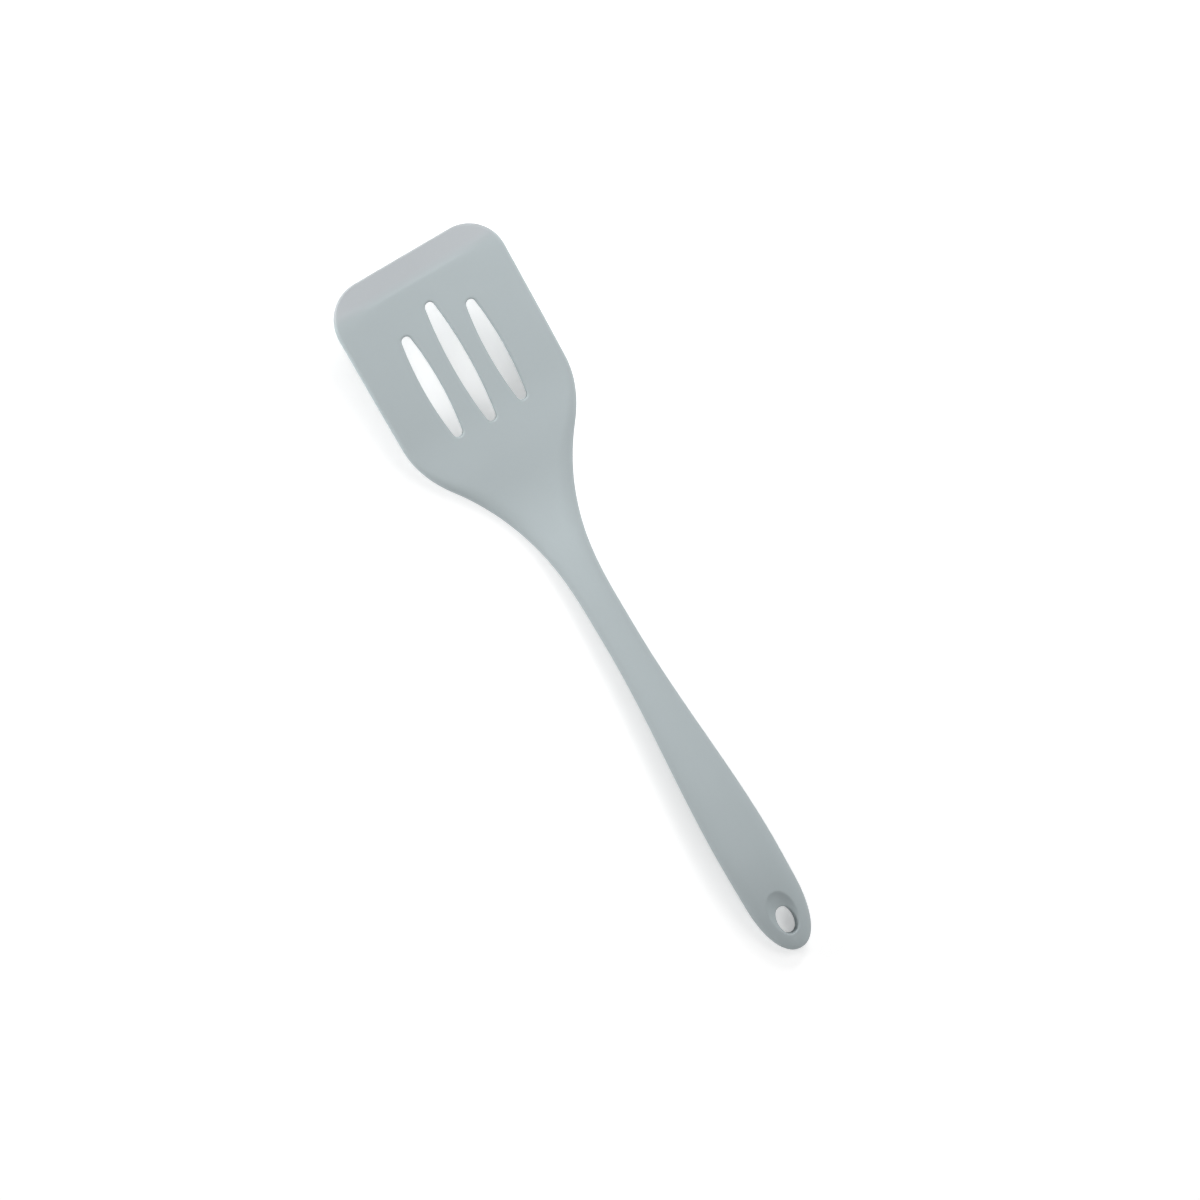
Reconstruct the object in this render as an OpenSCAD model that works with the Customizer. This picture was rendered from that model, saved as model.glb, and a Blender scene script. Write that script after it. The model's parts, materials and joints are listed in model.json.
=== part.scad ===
// Slotted turner, lying face up on a table. The heel of the blade and the underside of
// the handle's end touch the table at Z = 0. X runs from the blade's front edge to the
// end of the handle, Y is across, and the origin lies below the middle of the length.
// A moulded skin wraps a stamped blade plate and a core bar that is moulded on its tang.

/* [Overall] */
// Length on the table, from the front edge to the end of the handle
total_l = 320; // [310:1:340]

/* [Blade outline] */
// Width of the blade at its front
blade_w = 76.7; // [72:0.1:82]
// Width of the blade where its shoulders begin
heel_w = 75.8; // [72:0.1:82]
// Radius of the two front corners
corner_r = 16.5; // [13:0.1:19]
// Front edge to the start of the shoulders
shoulder_l = 66; // [62:0.5:72]
// Start of the shoulders to the steepest stretch of the sweep
sweep_l = 25; // [22:0.5:30]
// Width at the steepest stretch
sweep_w = 56.5; // [52:0.5:60]
// Narrowing of each side per unit of length at the steepest stretch
sweep_slope = 0.77; // [0.7:0.01:0.84]
// Steepest stretch to the hollow of the sweep
hollow_l = 36; // [32:0.5:40]
// Width at the hollow of the sweep
hollow_w = 21.6; // [19:0.2:24]
// Narrowing of each side per unit of length at the hollow
hollow_slope = 0.26; // [0.2:0.01:0.32]

/* [Blade section] */
// Angle between the blade's sole and the table
tilt = 11; // [9:0.5:13]
// Front edge to the end of the flat sole
sole_l = 98.5; // [93:0.5:104]
// Length over which the sole rolls up into the neck
heel_roll_l = 30; // [26:0.5:36]
// Angle at which the neck leaves the heel
neck_rise = 5; // [4:0.5:8]
// Thickness of the blade behind the lip
blade_t = 3.4; // [3.2:0.1:4]
// Thickness at the steepest stretch of the sweep
heel_t = 4.8; // [4.4:0.1:5.6]
// Depth of the flexible front lip
lip_l = 9.8; // [8:0.2:12]
// Thickness of the lip at its front edge
lip_edge_t = 1.3; // [1.1:0.1:1.6]
// Thickness of the lip at its root
lip_root_t = 3; // [2.6:0.1:3.2]
// Length of the step between the lip and the blade
step_l = 2.2; // [1.4:0.1:3]
// Length over which the front edge is rounded
edge_l = 0.6; // [0.4:0.1:0.8]

/* [Drain slots] */
// Width of the middle slot at its middle
mid_slot_w = 7.6; // [6.6:0.1:8.2]
// Width of each side slot at its middle
side_slot_w = 7.3; // [6.4:0.1:8]
// Width of the round ends of a slot
slot_end_w = 4.2; // [3.4:0.1:5]
// Distance between the centre lines of the slots
slot_pitch = 14.9; // [14.4:0.1:16.5]
// Length of the middle slot
mid_slot_l = 54; // [48:0.5:57]
// Front edge to the middle slot, along the blade
mid_slot_front = 20.8; // [20:0.2:24]
// Length of each side slot
side_slot_l = 45.6; // [40:0.5:48]
// Front edge to the side slots, along the blade
side_slot_front = 28; // [26:0.2:31]

/* [Neck and handle] */
// Hollow of the sweep to the start of the neck
neck_lead_l = 35.5; // [30:0.5:38]
// Length of the narrowest stretch
neck_l = 13; // [10:0.5:18]
// Width of the neck
neck_w = 14.5; // [13.4:0.1:16]
// Thickness of the neck
neck_t = 8.6; // [8.2:0.1:10]
// Width halfway between the neck and the palm
grip_w = 19.3; // [17.5:0.1:20.5]
// Widening of each side per unit of length halfway to the palm
grip_slope = 0.073; // [0.06:0.001:0.085]
// Widest place of the handle to its end
palm_l = 44.5; // [42:0.5:52]
// Width of the handle at its widest place
palm_w = 24.2; // [23:0.1:26.5]
// Thickness of the handle at its widest place
palm_t = 12; // [11:0.1:13]
// Length of the rounded end, seen from above
end_l = 27.5; // [25:0.5:30]
// Width of the handle where the rounded end begins
tail_w = 23.8; // [22:0.1:25.5]
// Thickness of the handle's end
tail_t = 9.1; // [8.8:0.1:10.2]
// Length over which the upper side of the end is rounded
nose_l = 13.8; // [10:0.5:16]
// Length over which the underside of the end is rounded
toe_l = 6; // [4:0.2:7]
// Height of the handle's underside over the table at its crest
arch_h = 5; // [3.5:0.5:8]
// Steepest angle at which the handle falls to the table
droop = 9.6; // [7:0.2:13]
// Steepest place to the place where the handle touches the table
droop_l = 9; // [7:0.5:14]
// Place where the handle touches the table to the handle's end
rest_l = 5.5; // [5:0.1:8]
// Height of the underside over the table at the handle's end
toe_h = 0.5; // [0.3:0.1:1]

/* [Hang hole] */
// Length of the hole
hole_l = 11.9; // [10.5:0.1:13]
// Width of the hole
hole_w = 7.5; // [6.8:0.1:8]
// Width of the round ends of the hole
hole_end_w = 6; // [5:0.1:6.5]
// Middle of the hole to the handle's end
hole_to_tip = 13; // [12.4:0.1:14.5]
// Length of the dish round the hole
dish_l = 20; // [18:0.2:22]
// Width of the dish
dish_w = 12.4; // [11:0.1:14]
// Depth of the dish
dish_d = 2.2; // [1.4:0.1:2.3]
// Offset of the dish from the hole, towards the blade
dish_offset = 1.8; // [1:0.1:2.4]
// Tilt of the dish, down towards the handle's end
dish_tilt = 9; // [6:0.5:11]

/* [Blade plate] */
// Thickness of the plate
plate_t = 0.8; // [0.6:0.1:1]
// Thickness of the skin under the plate
sole_skin = 1.1; // [1:0.1:1.3]
// Thickness of the skin at the plate's sides
side_skin = 4.5; // [3.6:0.1:5.5]
// Front edge of the blade to the front of the plate
plate_setback = 13.4; // [12.8:0.2:15]
// Radius of the front corners of the plate
plate_corner_r = 11; // [8:0.2:13]
// Thickness of the skin that lines each slot
slot_lining = 1.5; // [1.2:0.1:1.7]
// Radius of the bend between the plate and its tang
bend_r = 25; // [20:1:30]
// Width of the tang
tang_w = 7; // [6:0.1:7.4]
// Hollow of the sweep to the end of the tang
tang_l = 44; // [40:0.5:50]
// Diameter of the anchor holes that the skin flows through
anchor_d = 5; // [4:0.1:5.6]
// Distance between the two anchor holes behind the slots
heel_anchor_pitch = 18; // [15:0.5:21]
// Diameter of the lock holes in the tang
lock_d = 3; // [2.4:0.1:3.4]
// Distance between the lock holes
lock_pitch = 12; // [10:0.5:14]

/* [Handle core] */
// Thickness of the skin round the core
core_skin = 2.3; // [2:0.1:2.4]
// Hollow of the sweep to the front of the core
core_front_gap = 2; // [1:0.5:4]
// End of the handle to the end of the core
core_end_gap = 3; // [2.7:0.1:3.3]
// Thickness of the skin that lines the hang hole
hole_lining = 1.6; // [1.3:0.1:1.7]
// Thickness of the skin under the dish
dish_skin = 1.2; // [1:0.1:1.4]

/* [Hidden] */
$fn = 96;

skin_colour = [0.68, 0.73, 0.74];
plate_colour = [0.77, 0.78, 0.8];
core_colour = [0.86, 0.85, 0.81];

// Shares of the sizes that they follow
edge_share = 0.5;        // thickness left at the very front of the lip
grip_roll_share = 0.86;  // part of the handle's half width that its rounded sides take
end_power_share = 2.2;   // power of the curve round the handle's end, 2 is an ellipse
anchor_shares = [0, 0.5, 1]; // places of the side anchor holes along the side slots

// Numbers of steps in the surfaces
roll_steps = 10;
edge_steps = 3;
corner_steps = 6;
sole_steps = 4;
sweep_steps = 25;
grip_steps = 16;
end_steps = 10;
oval_steps = 8;
bend_steps = 8;
lock_count = 3;

// Least distance between two stations, and how far a cutter runs past what it cuts
station_gap = 0.05;
overrun = 8;

// Depth that the flat trim takes off the sole
trim_d = 0.02;

// Places along the length
front_x = -total_l / 2;
tip_x = total_l / 2;
shoulder_x = front_x + shoulder_l;
sweep_x = shoulder_x + sweep_l;
hollow_x = sweep_x + hollow_l;
neck_x = hollow_x + neck_lead_l;
grip_x = neck_x + neck_l;
palm_x = tip_x - palm_l;
tail_x = tip_x - end_l;
sole_end_x = front_x + sole_l;
heel_end_x = sole_end_x + heel_roll_l;
rest_x = tip_x - rest_l;
crest_x = (heel_end_x + rest_x) / 2;
lip_x = front_x + lip_l;
plate_front_x = front_x + plate_setback;
tang_end_x = hollow_x + tang_l;
core_front_x = hollow_x - core_front_gap;
core_end_x = tip_x - core_end_gap;
hole_x = tip_x - hole_to_tip;

// A value that changes evenly from a to b as u goes from 0 to 1
function mix(a, b, u) = a + (b - a) * u;

// The same with a soft start and end
function ease(a, b, u) = let (v = min(1, max(0, u))) mix(a, b, v * v * (3 - 2 * v));

// Rise of a quarter ellipse of length 1 and height 1
function quarter(u) = let (v = 1 - min(1, max(0, u))) sqrt(1 - v * v);

// Cubic between two knots [place, value, slope]
function cubic(p, q, x) =
    let (
        l = q[0] - p[0],
        u = (x - p[0]) / l,
        v = 1 - u
    )
    v * v * (1 + 2 * u) * p[1] + u * v * v * l * p[2]
    + u * u * (1 + 2 * v) * q[1] - v * u * u * l * q[2];

// Smooth curve through a list of knots
function curve(knots, x) =
    let (i = max([for (j = [0:len(knots) - 2]) if (j == 0 || x >= knots[j][0]) j]))
    cubic(knots[i], knots[i + 1], x);

// List in rising order, without places closer than station_gap
function sorted(v) =
    len(v) < 2 ? v :
    let (
        low = [for (i = [1:len(v) - 1]) if (v[i] < v[0] - station_gap) v[i]],
        high = [for (i = [1:len(v) - 1]) if (v[i] > v[0] + station_gap) v[i]]
    )
    concat(sorted(low), [v[0]], sorted(high));

// Half of the width along the length, without the round corners and end
side_slope = (heel_w - blade_w) / 2 / shoulder_l;
width_knots = [
    [front_x, blade_w / 2, side_slope],
    [shoulder_x, heel_w / 2, 2 * side_slope],
    [sweep_x, sweep_w / 2, -sweep_slope],
    [hollow_x, hollow_w / 2, -hollow_slope],
    [neck_x, neck_w / 2, 0],
    [grip_x, neck_w / 2, 0],
    [(grip_x + palm_x) / 2, grip_w / 2, grip_slope],
    [palm_x, palm_w / 2, 0],
    [tail_x, tail_w / 2, (tail_w - palm_w) / 2 / (tail_x - palm_x)],
    [tip_x, tail_w / 2, 0],
];

// Width that a corner of radius r takes from one side, at a distance d behind it
function corner_cut(r, d) = r * (1 - quarter(d / r));

// Part of the width that is left in the rounded end
function end_share(x) =
    let (u = max(0, x - tail_x) / end_l)
    pow(max(0, 1 - pow(u, end_power_share)), 1 / end_power_share);

function half_w(x) =
    (curve(width_knots, x) - corner_cut(corner_r, x - front_x)) * end_share(x);

// Thickness along the length, without the lip and the rounded ends
thick_knots = [
    [front_x, blade_t, 0],
    [shoulder_x, blade_t, 0],
    [sweep_x, heel_t, (neck_t - blade_t) / (neck_x - shoulder_x)],
    [neck_x, neck_t, 0],
    [palm_x, palm_t, 0],
    [tip_x, tail_t, (tail_t - palm_t) / palm_l],
];
function body_t(x) = curve(thick_knots, x);

// The lip tapers to the front edge, and a step leads up from it to the blade
function lip_t(x) =
    mix(lip_edge_t, lip_root_t, (x - front_x) / lip_l)
    * mix(edge_share, 1, quarter((x - front_x) / edge_l));
function thick(x) =
    x > lip_x + step_l
        ? body_t(x)
        : ease(lip_t(x), body_t(x), (x - lip_x) / step_l);

// Part of the half thickness that is left at x, where the end is rounded over a length l
function nose_share(x, l) = quarter((tip_x - x) / l);

// Height of the underside: the flat sole, the roll of the heel and the handle's arch
sole_slope = -tan(tilt);
neck_slope = tan(neck_rise);
heel_turn = (neck_slope - sole_slope) / heel_roll_l;
function heel_z(x) = let (d = x - (sole_end_x - sole_slope / heel_turn)) heel_turn * d * d / 2;
fall_slope = tan(droop);
arch_knots = [
    [heel_end_x, heel_z(heel_end_x), neck_slope],
    [crest_x, arch_h, 0],
    [rest_x - droop_l, fall_slope * droop_l / 2, -fall_slope],
    [rest_x, 0, 0],
    [tip_x, toe_h, 2 * toe_h / rest_l],
];
function under_z(x) =
    x < sole_end_x ? heel_z(sole_end_x) + sole_slope * (x - sole_end_x) :
    x < heel_end_x ? heel_z(x) :
    curve(arch_knots, x);
function mid_z(x) = under_z(x) + thick(x) / 2;
front_lift = under_z(front_x);

// Length of the rounding at each side: round on the blade, wide on the handle
function roll_l(x, a, t) =
    ease(t / 2, grip_roll_share * a, (x - shoulder_x) / (neck_x - shoulder_x));

// Outline of the section at x, drawn in by inset all round
function ring(x, inset) =
    let (
        a = half_w(x) - inset,
        up = thick(x) / 2 * nose_share(x, nose_l) - inset,
        down = thick(x) / 2 * nose_share(x, toe_l) - inset,
        r = min(roll_l(x, a, up + down), grip_roll_share * a),
        z = mid_z(x)
    )
    [
        for (side = [1, -1], k = [0:roll_steps])
            let (q = side * (180 * k / roll_steps - 90))
            [x, side * (a - r + r * cos(q)), z + (q > 0 ? up : down) * sin(q)]
    ];

// Stations along the length, closer where the shape turns
stations = sorted(concat(
    [for (k = [0:edge_steps]) front_x + edge_l * (1 - cos(90 * k / edge_steps))],
    [for (k = [2:corner_steps]) front_x + corner_r * (1 - cos(90 * k / corner_steps))],
    [for (k = [0:edge_steps]) lip_x + step_l * k / edge_steps],
    [for (k = [1:sole_steps - 1]) mix(front_x + corner_r, shoulder_x, k / sole_steps)],
    [for (k = [0:sweep_steps]) mix(shoulder_x, neck_x, k / sweep_steps)],
    [for (k = [1:grip_steps]) mix(neck_x, tail_x, k / grip_steps)],
    [for (k = [1:end_steps - 1]) tip_x - end_l * (1 - cos(90 - 90 * k / end_steps))]
));

// Solid through the rings at the given stations, flat in front, and flat or pointed behind
module lofted(places, inset, pointed) {
    n = 2 * (roll_steps + 1);
    last = len(places) - 1;
    rings = [for (x = places) each ring(x, inset)];
    walls = [
        for (i = [0:last - 1], k = [0:n - 1])
            let (
                a = i * n + k,
                b = i * n + (k + 1) % n
            )
            each [[a, a + n, b + n], [a, b + n, b]]
    ];
    tail = pointed
        ? [for (k = [0:n - 1]) [last * n + (k + 1) % n, last * n + k, (last + 1) * n]]
        : [[for (k = [n - 1:-1:0]) last * n + k]];
    polyhedron(
        points = concat(rings, [[tip_x, 0, mid_z(tip_x)]]),
        faces = concat([[for (k = [0:n - 1]) k]], walls, tail)
    );
}

// Outline of an oval of four tangent arcs, along X and centred
function oval(l, w, end_w) =
    let (
        c = (l - end_w) / 2,
        e = end_w / 2,
        r = (c * c + w * w / 4 - e * e) / (w - end_w),
        half = atan2(c, r - w / 2),
        n = oval_steps
    )
    [
        for (side = [1, -1]) each concat(
            [
                for (k = [0:n])
                    let (q = mix(half - 90, 90 - half, k / n))
                    side * [c + e * cos(q), e * sin(q)]
            ],
            [
                for (k = [1:n - 1])
                    let (q = mix(90 - half, 90 + half, k / n))
                    side * [r * cos(q), w / 2 - r + r * sin(q)]
            ]
        )
    ];

// Places children in the plane of the sole, with X running back from the front edge
module on_blade() {
    translate([front_x, 0, front_lift])
        rotate([0, tilt, 0])
            children();
}

// Everything below the sole, so that the sole comes out as one flat face
module sole_trim() {
    on_blade()
        translate([-overrun, -blade_w, trim_d - overrun])
            cube([sole_l + 2 * overrun, 2 * blade_w, overrun]);
}

// One slot as a cutter, from its front end at place and widened all round by grow
module slot_cutter(place, y, l, w, grow) {
    on_blade()
        translate([place + l / 2, y, -overrun])
            linear_extrude(blade_t + 2 * overrun)
                polygon(oval(l + 2 * grow, w + 2 * grow, slot_end_w + 2 * grow));
}
module slot_cutters(grow) {
    slot_cutter(mid_slot_front, 0, mid_slot_l, mid_slot_w, grow);
    for (side = [1, -1])
        slot_cutter(side_slot_front, side * slot_pitch, side_slot_l, side_slot_w, grow);
}

// The hang hole as a cutter, widened all round by grow
module hole_cutter(grow) {
    translate([hole_x, 0, -overrun])
        linear_extrude(tail_t + toe_h + 2 * overrun)
            polygon(oval(hole_l + 2 * grow, hole_w + 2 * grow, hole_end_w + 2 * grow));
}

// The dish round the hang hole: the lowest part of a flattened ball, tilted with the end
module dish_cutter() {
    x = hole_x - dish_offset;
    half_chord = sqrt(3) / 2;
    translate([x, 0, under_z(x) + thick(x) + dish_d])
        rotate([0, dish_tilt, 0])
            scale([dish_l / 2 / half_chord, dish_w / 2 / half_chord, 2 * dish_d])
                sphere(1);
}

// Side view of the plate: a flat blade, a bend and a straight tang along the neck
plate_dir = [cos(tilt), -sin(tilt)];
plate_start = [front_x, front_lift] + (sole_skin + plate_t / 2) * [sin(tilt), cos(tilt)];
tang_root = [core_front_x, mid_z(core_front_x)];
tang_end = [tang_end_x, mid_z(tang_end_x)];
tang_rise = atan2(tang_end[1] - tang_root[1], tang_end[0] - tang_root[0]);
tang_dir = [cos(tang_rise), sin(tang_rise)];
bend_at = plate_start
    + plate_dir * cross(tang_root - plate_start, tang_dir) / cross(plate_dir, tang_dir);
bend_half = (tang_rise + tilt) / 2;
bend_lean = (tang_rise - tilt) / 2;
bend_centre = bend_at + bend_r / cos(bend_half) * [-sin(bend_lean), cos(bend_lean)];
plate_nose = plate_start + plate_dir * plate_setback / cos(tilt);

// One face of the plate, at a height h over its middle plane
function plate_face(h) = concat(
    [plate_nose + h * [sin(tilt), cos(tilt)]],
    [
        for (k = [0:bend_steps])
            let (q = mix(-tilt, tang_rise, k / bend_steps))
            bend_centre + (bend_r - h) * [sin(q), -cos(q)]
    ],
    [tang_end + h * [-sin(tang_rise), cos(tang_rise)]]
);

// Half of the plate's width, with round front corners
function plate_half(x) =
    max(tang_w / 2, half_w(x) - side_skin) - corner_cut(plate_corner_r, x - plate_front_x);
plate_places = sorted(concat(
    [for (k = [0:corner_steps]) plate_front_x + plate_corner_r * (1 - cos(90 * k / corner_steps))],
    [for (k = [0:sweep_steps]) mix(shoulder_x, neck_x, k / sweep_steps)],
    [tang_end_x + overrun]
));

// The plate without its windows and holes
module plate_blank() {
    top = plate_face(plate_t / 2);
    intersection() {
        rotate([90, 0, 0])
            linear_extrude(blade_w, center = true)
                polygon(concat(
                    plate_face(-plate_t / 2),
                    [for (k = [len(top) - 1:-1:0]) top[k]]
                ));
        translate([0, 0, -overrun])
            linear_extrude(front_lift + arch_h + palm_t + 2 * overrun)
                polygon(concat(
                    [for (x = plate_places) [x, plate_half(x)]],
                    [
                        for (k = [len(plate_places) - 1:-1:0])
                            [plate_places[k], -plate_half(plate_places[k])]
                    ]
                ));
    }
}

// Place across, midway between a side slot's window and the plate's own edge
function anchor_y(place) =
    (slot_pitch + side_slot_w / 2 + slot_lining + plate_half(front_x + place * cos(tilt))) / 2;

// Round holes through the plate: anchors for the skin and locks for the core
module plate_holes() {
    on_blade()
        for (side = [1, -1], share = anchor_shares)
            let (place = side_slot_front + share * side_slot_l)
            translate([place, side * anchor_y(place), -overrun])
                cylinder(h = blade_t + 2 * overrun, d = anchor_d);
    for (side = [1, -1])
        translate([sweep_x + anchor_d, side * heel_anchor_pitch / 2, -overrun])
            cylinder(h = heel_t + 2 * overrun, d = anchor_d);
    for (k = [0:lock_count - 1])
        translate([tang_end_x - lock_pitch / 2 - k * lock_pitch, 0, -overrun])
            cylinder(h = arch_h + neck_t + 2 * overrun, d = lock_d);
}

module plate_solid() {
    difference() {
        plate_blank();
        slot_cutters(slot_lining);
        plate_holes();
    }
}

// The core bar before the tang is set into it, with its window round the hang hole and a
// recess that follows the dish
module core_solid() {
    places = concat(
        [core_front_x],
        [for (x = stations) if (x > core_front_x + station_gap && x < core_end_x - station_gap) x],
        [core_end_x]
    );
    difference() {
        lofted(places, core_skin, false);
        hole_cutter(hole_lining);
        translate([0, 0, -dish_skin])
            dish_cutter();
    }
}

module silicone_jacket() {
    color(skin_colour)
        difference() {
            lofted(stations, 0, true);
            sole_trim();
            slot_cutters(0);
            hole_cutter(0);
            dish_cutter();
            plate_solid();
            core_solid();
        }
}

module blade_plate() {
    color(plate_colour)
        plate_solid();
}

module handle_core() {
    color(core_colour)
        difference() {
            core_solid();
            plate_solid();
        }
}

silicone_jacket();
blade_plate();
handle_core();
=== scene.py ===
"""Slotted turner: a seamless silicone jacket over a blade plate and a handle core.

The shapes are height fields and swept rims over the plan of the tool. Lengths are in
metres in the frame of the packed part: X from the blade's front edge to the end of the
handle, Y across, Z up from the table, and the origin below the middle of the length.
"""

import json
import math

import bmesh
import bpy
import numpy as np
from bpy.props import FloatProperty, FloatVectorProperty, PointerProperty
from mathutils import Euler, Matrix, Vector

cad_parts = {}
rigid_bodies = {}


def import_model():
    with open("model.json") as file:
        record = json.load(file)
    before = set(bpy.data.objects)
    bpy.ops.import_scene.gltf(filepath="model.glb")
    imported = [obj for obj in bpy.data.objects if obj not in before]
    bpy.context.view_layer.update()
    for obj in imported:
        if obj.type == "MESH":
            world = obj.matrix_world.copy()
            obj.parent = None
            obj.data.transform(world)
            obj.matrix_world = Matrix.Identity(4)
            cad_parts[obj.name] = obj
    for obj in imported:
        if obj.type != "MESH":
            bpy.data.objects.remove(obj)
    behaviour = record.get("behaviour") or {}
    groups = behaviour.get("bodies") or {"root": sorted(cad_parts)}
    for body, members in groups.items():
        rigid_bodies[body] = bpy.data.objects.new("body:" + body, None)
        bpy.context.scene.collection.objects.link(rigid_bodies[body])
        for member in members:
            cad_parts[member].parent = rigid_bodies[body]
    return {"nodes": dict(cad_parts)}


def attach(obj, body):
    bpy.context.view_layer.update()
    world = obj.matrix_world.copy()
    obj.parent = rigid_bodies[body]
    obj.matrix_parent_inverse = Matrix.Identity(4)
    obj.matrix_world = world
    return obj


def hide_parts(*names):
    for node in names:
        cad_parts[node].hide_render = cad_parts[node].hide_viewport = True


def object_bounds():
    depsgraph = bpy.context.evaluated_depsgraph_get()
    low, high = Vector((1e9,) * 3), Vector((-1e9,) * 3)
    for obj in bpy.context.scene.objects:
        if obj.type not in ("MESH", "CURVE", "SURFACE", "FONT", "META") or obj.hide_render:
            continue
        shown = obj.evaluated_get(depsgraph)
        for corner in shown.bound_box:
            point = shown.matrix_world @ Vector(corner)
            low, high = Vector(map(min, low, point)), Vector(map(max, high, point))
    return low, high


bl_info = {
    "name": "Slotted Turner",
    "version": (1, 0, 0),
    "blender": (4, 5, 0),
    "location": "3D View > Sidebar > Turner",
    "description": "Builds a silicone slotted turner around its packed frame",
    "category": "Add Mesh",
}

# Blender's start-up cube, lamp and camera make room for the frame
for leftover in list(bpy.data.objects):
    bpy.data.objects.remove(leftover)
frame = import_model()
CAD_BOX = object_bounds()

MM = 0.001
JACKET = "silicone_jacket"
PLATE = "blade_plate"
CORE = "handle_core"
BODY = "root"
WHITE = (1.0, 1.0, 1.0, 1.0)
QUARTER_TURN = math.pi / 2


# ---------------------------------------------------------------- sizes and colours


def length(name, description, size_mm):
    """A length property, given in millimetres and kept in metres."""
    return FloatProperty(
        name=name,
        description=description,
        default=size_mm * MM,
        min=0.0,
        unit="LENGTH",
        subtype="DISTANCE",
        precision=5,
    )


def angle(name, description, degrees):
    """An angle property, given in degrees and kept in radians."""
    return FloatProperty(
        name=name,
        description=description,
        default=math.radians(degrees),
        unit="ROTATION",
        subtype="ANGLE",
    )


def share(name, description, value, top=1.0):
    """A plain number between 0 and top."""
    return FloatProperty(
        name=name,
        description=description,
        default=value,
        min=0.0,
        max=top,
        subtype="FACTOR",
    )


def colour(name, description, value):
    """A linear colour property."""
    return FloatVectorProperty(
        name=name,
        description=description,
        default=value,
        size=3,
        min=0.0,
        max=1.0,
        subtype="COLOR",
    )


def place(name, description, value):
    """A place in metres."""
    return FloatVectorProperty(
        name=name,
        description=description,
        default=value,
        size=3,
        unit="LENGTH",
        subtype="XYZ",
    )


def power(name, description, watts):
    """The power of a lamp."""
    return FloatProperty(
        name=name,
        description=description,
        default=watts,
        min=0.0,
        unit="POWER",
    )


class TurnerBlade(bpy.types.PropertyGroup):
    """Outline, section and slots of the blade."""

    total_l: length("Overall length", "Front edge to the end of the handle", 320)
    blade_w: length("Front width", "Width of the blade at its front", 76.7)
    heel_w: length("Heel width", "Width where the shoulders begin", 75.8)
    corner_r: length("Corner radius", "Radius of the two front corners", 16.5)
    shoulder_l: length("Blade length", "Front edge to the start of the shoulders", 66)
    sweep_l: length("Sweep", "Shoulders to the steepest stretch of the sweep", 25)
    sweep_w: length("Sweep width", "Width at the steepest stretch", 56.5)
    sweep_slope: share("Sweep slope", "Narrowing of a side per length there", 0.77, 2.0)
    hollow_l: length("Hollow", "Steepest stretch to the hollow of the sweep", 36)
    hollow_w: length("Hollow width", "Width at the hollow", 21.6)
    hollow_slope: share("Hollow slope", "Narrowing of a side per length there", 0.26, 2.0)
    tilt: angle("Tilt", "Angle between the blade's sole and the table", 11)
    sole_l: length("Sole length", "Front edge to the end of the flat sole", 98.5)
    heel_roll_l: length("Heel roll", "Length over which the sole rolls up", 30)
    neck_rise: angle("Neck rise", "Angle at which the neck leaves the heel", 5)
    blade_t: length("Blade thickness", "Thickness behind the lip", 3.4)
    heel_t: length("Heel thickness", "Thickness at the steepest stretch", 4.8)
    lip_l: length("Lip depth", "Depth of the flexible front lip", 9.8)
    lip_edge_t: length("Lip edge", "Thickness of the lip at its edge", 1.3)
    lip_root_t: length("Lip root", "Thickness of the lip at its root", 3.0)
    step_l: length("Lip step", "Length of the step behind the lip", 2.2)
    step_fade_y: length("Step fade", "Half width at which the step starts to fade", 17)
    mid_slot_w: length("Middle slot width", "Width of the middle slot", 7.6)
    side_slot_w: length("Side slot width", "Width of each side slot", 7.3)
    slot_end_w: length("Slot end width", "Width of the round ends of a slot", 4.2)
    slot_pitch: length("Slot pitch", "Distance between the slots' centre lines", 14.9)
    mid_slot_l: length("Middle slot length", "Length of the middle slot", 54)
    mid_slot_front: length("Middle slot place", "Front edge to the middle slot", 20.8)
    side_slot_l: length("Side slot length", "Length of each side slot", 45.6)
    side_slot_front: length("Side slot place", "Front edge to the side slots", 28)
    slot_round: length("Slot rounding", "Rounding of the slots' rims", 0.9)


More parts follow.
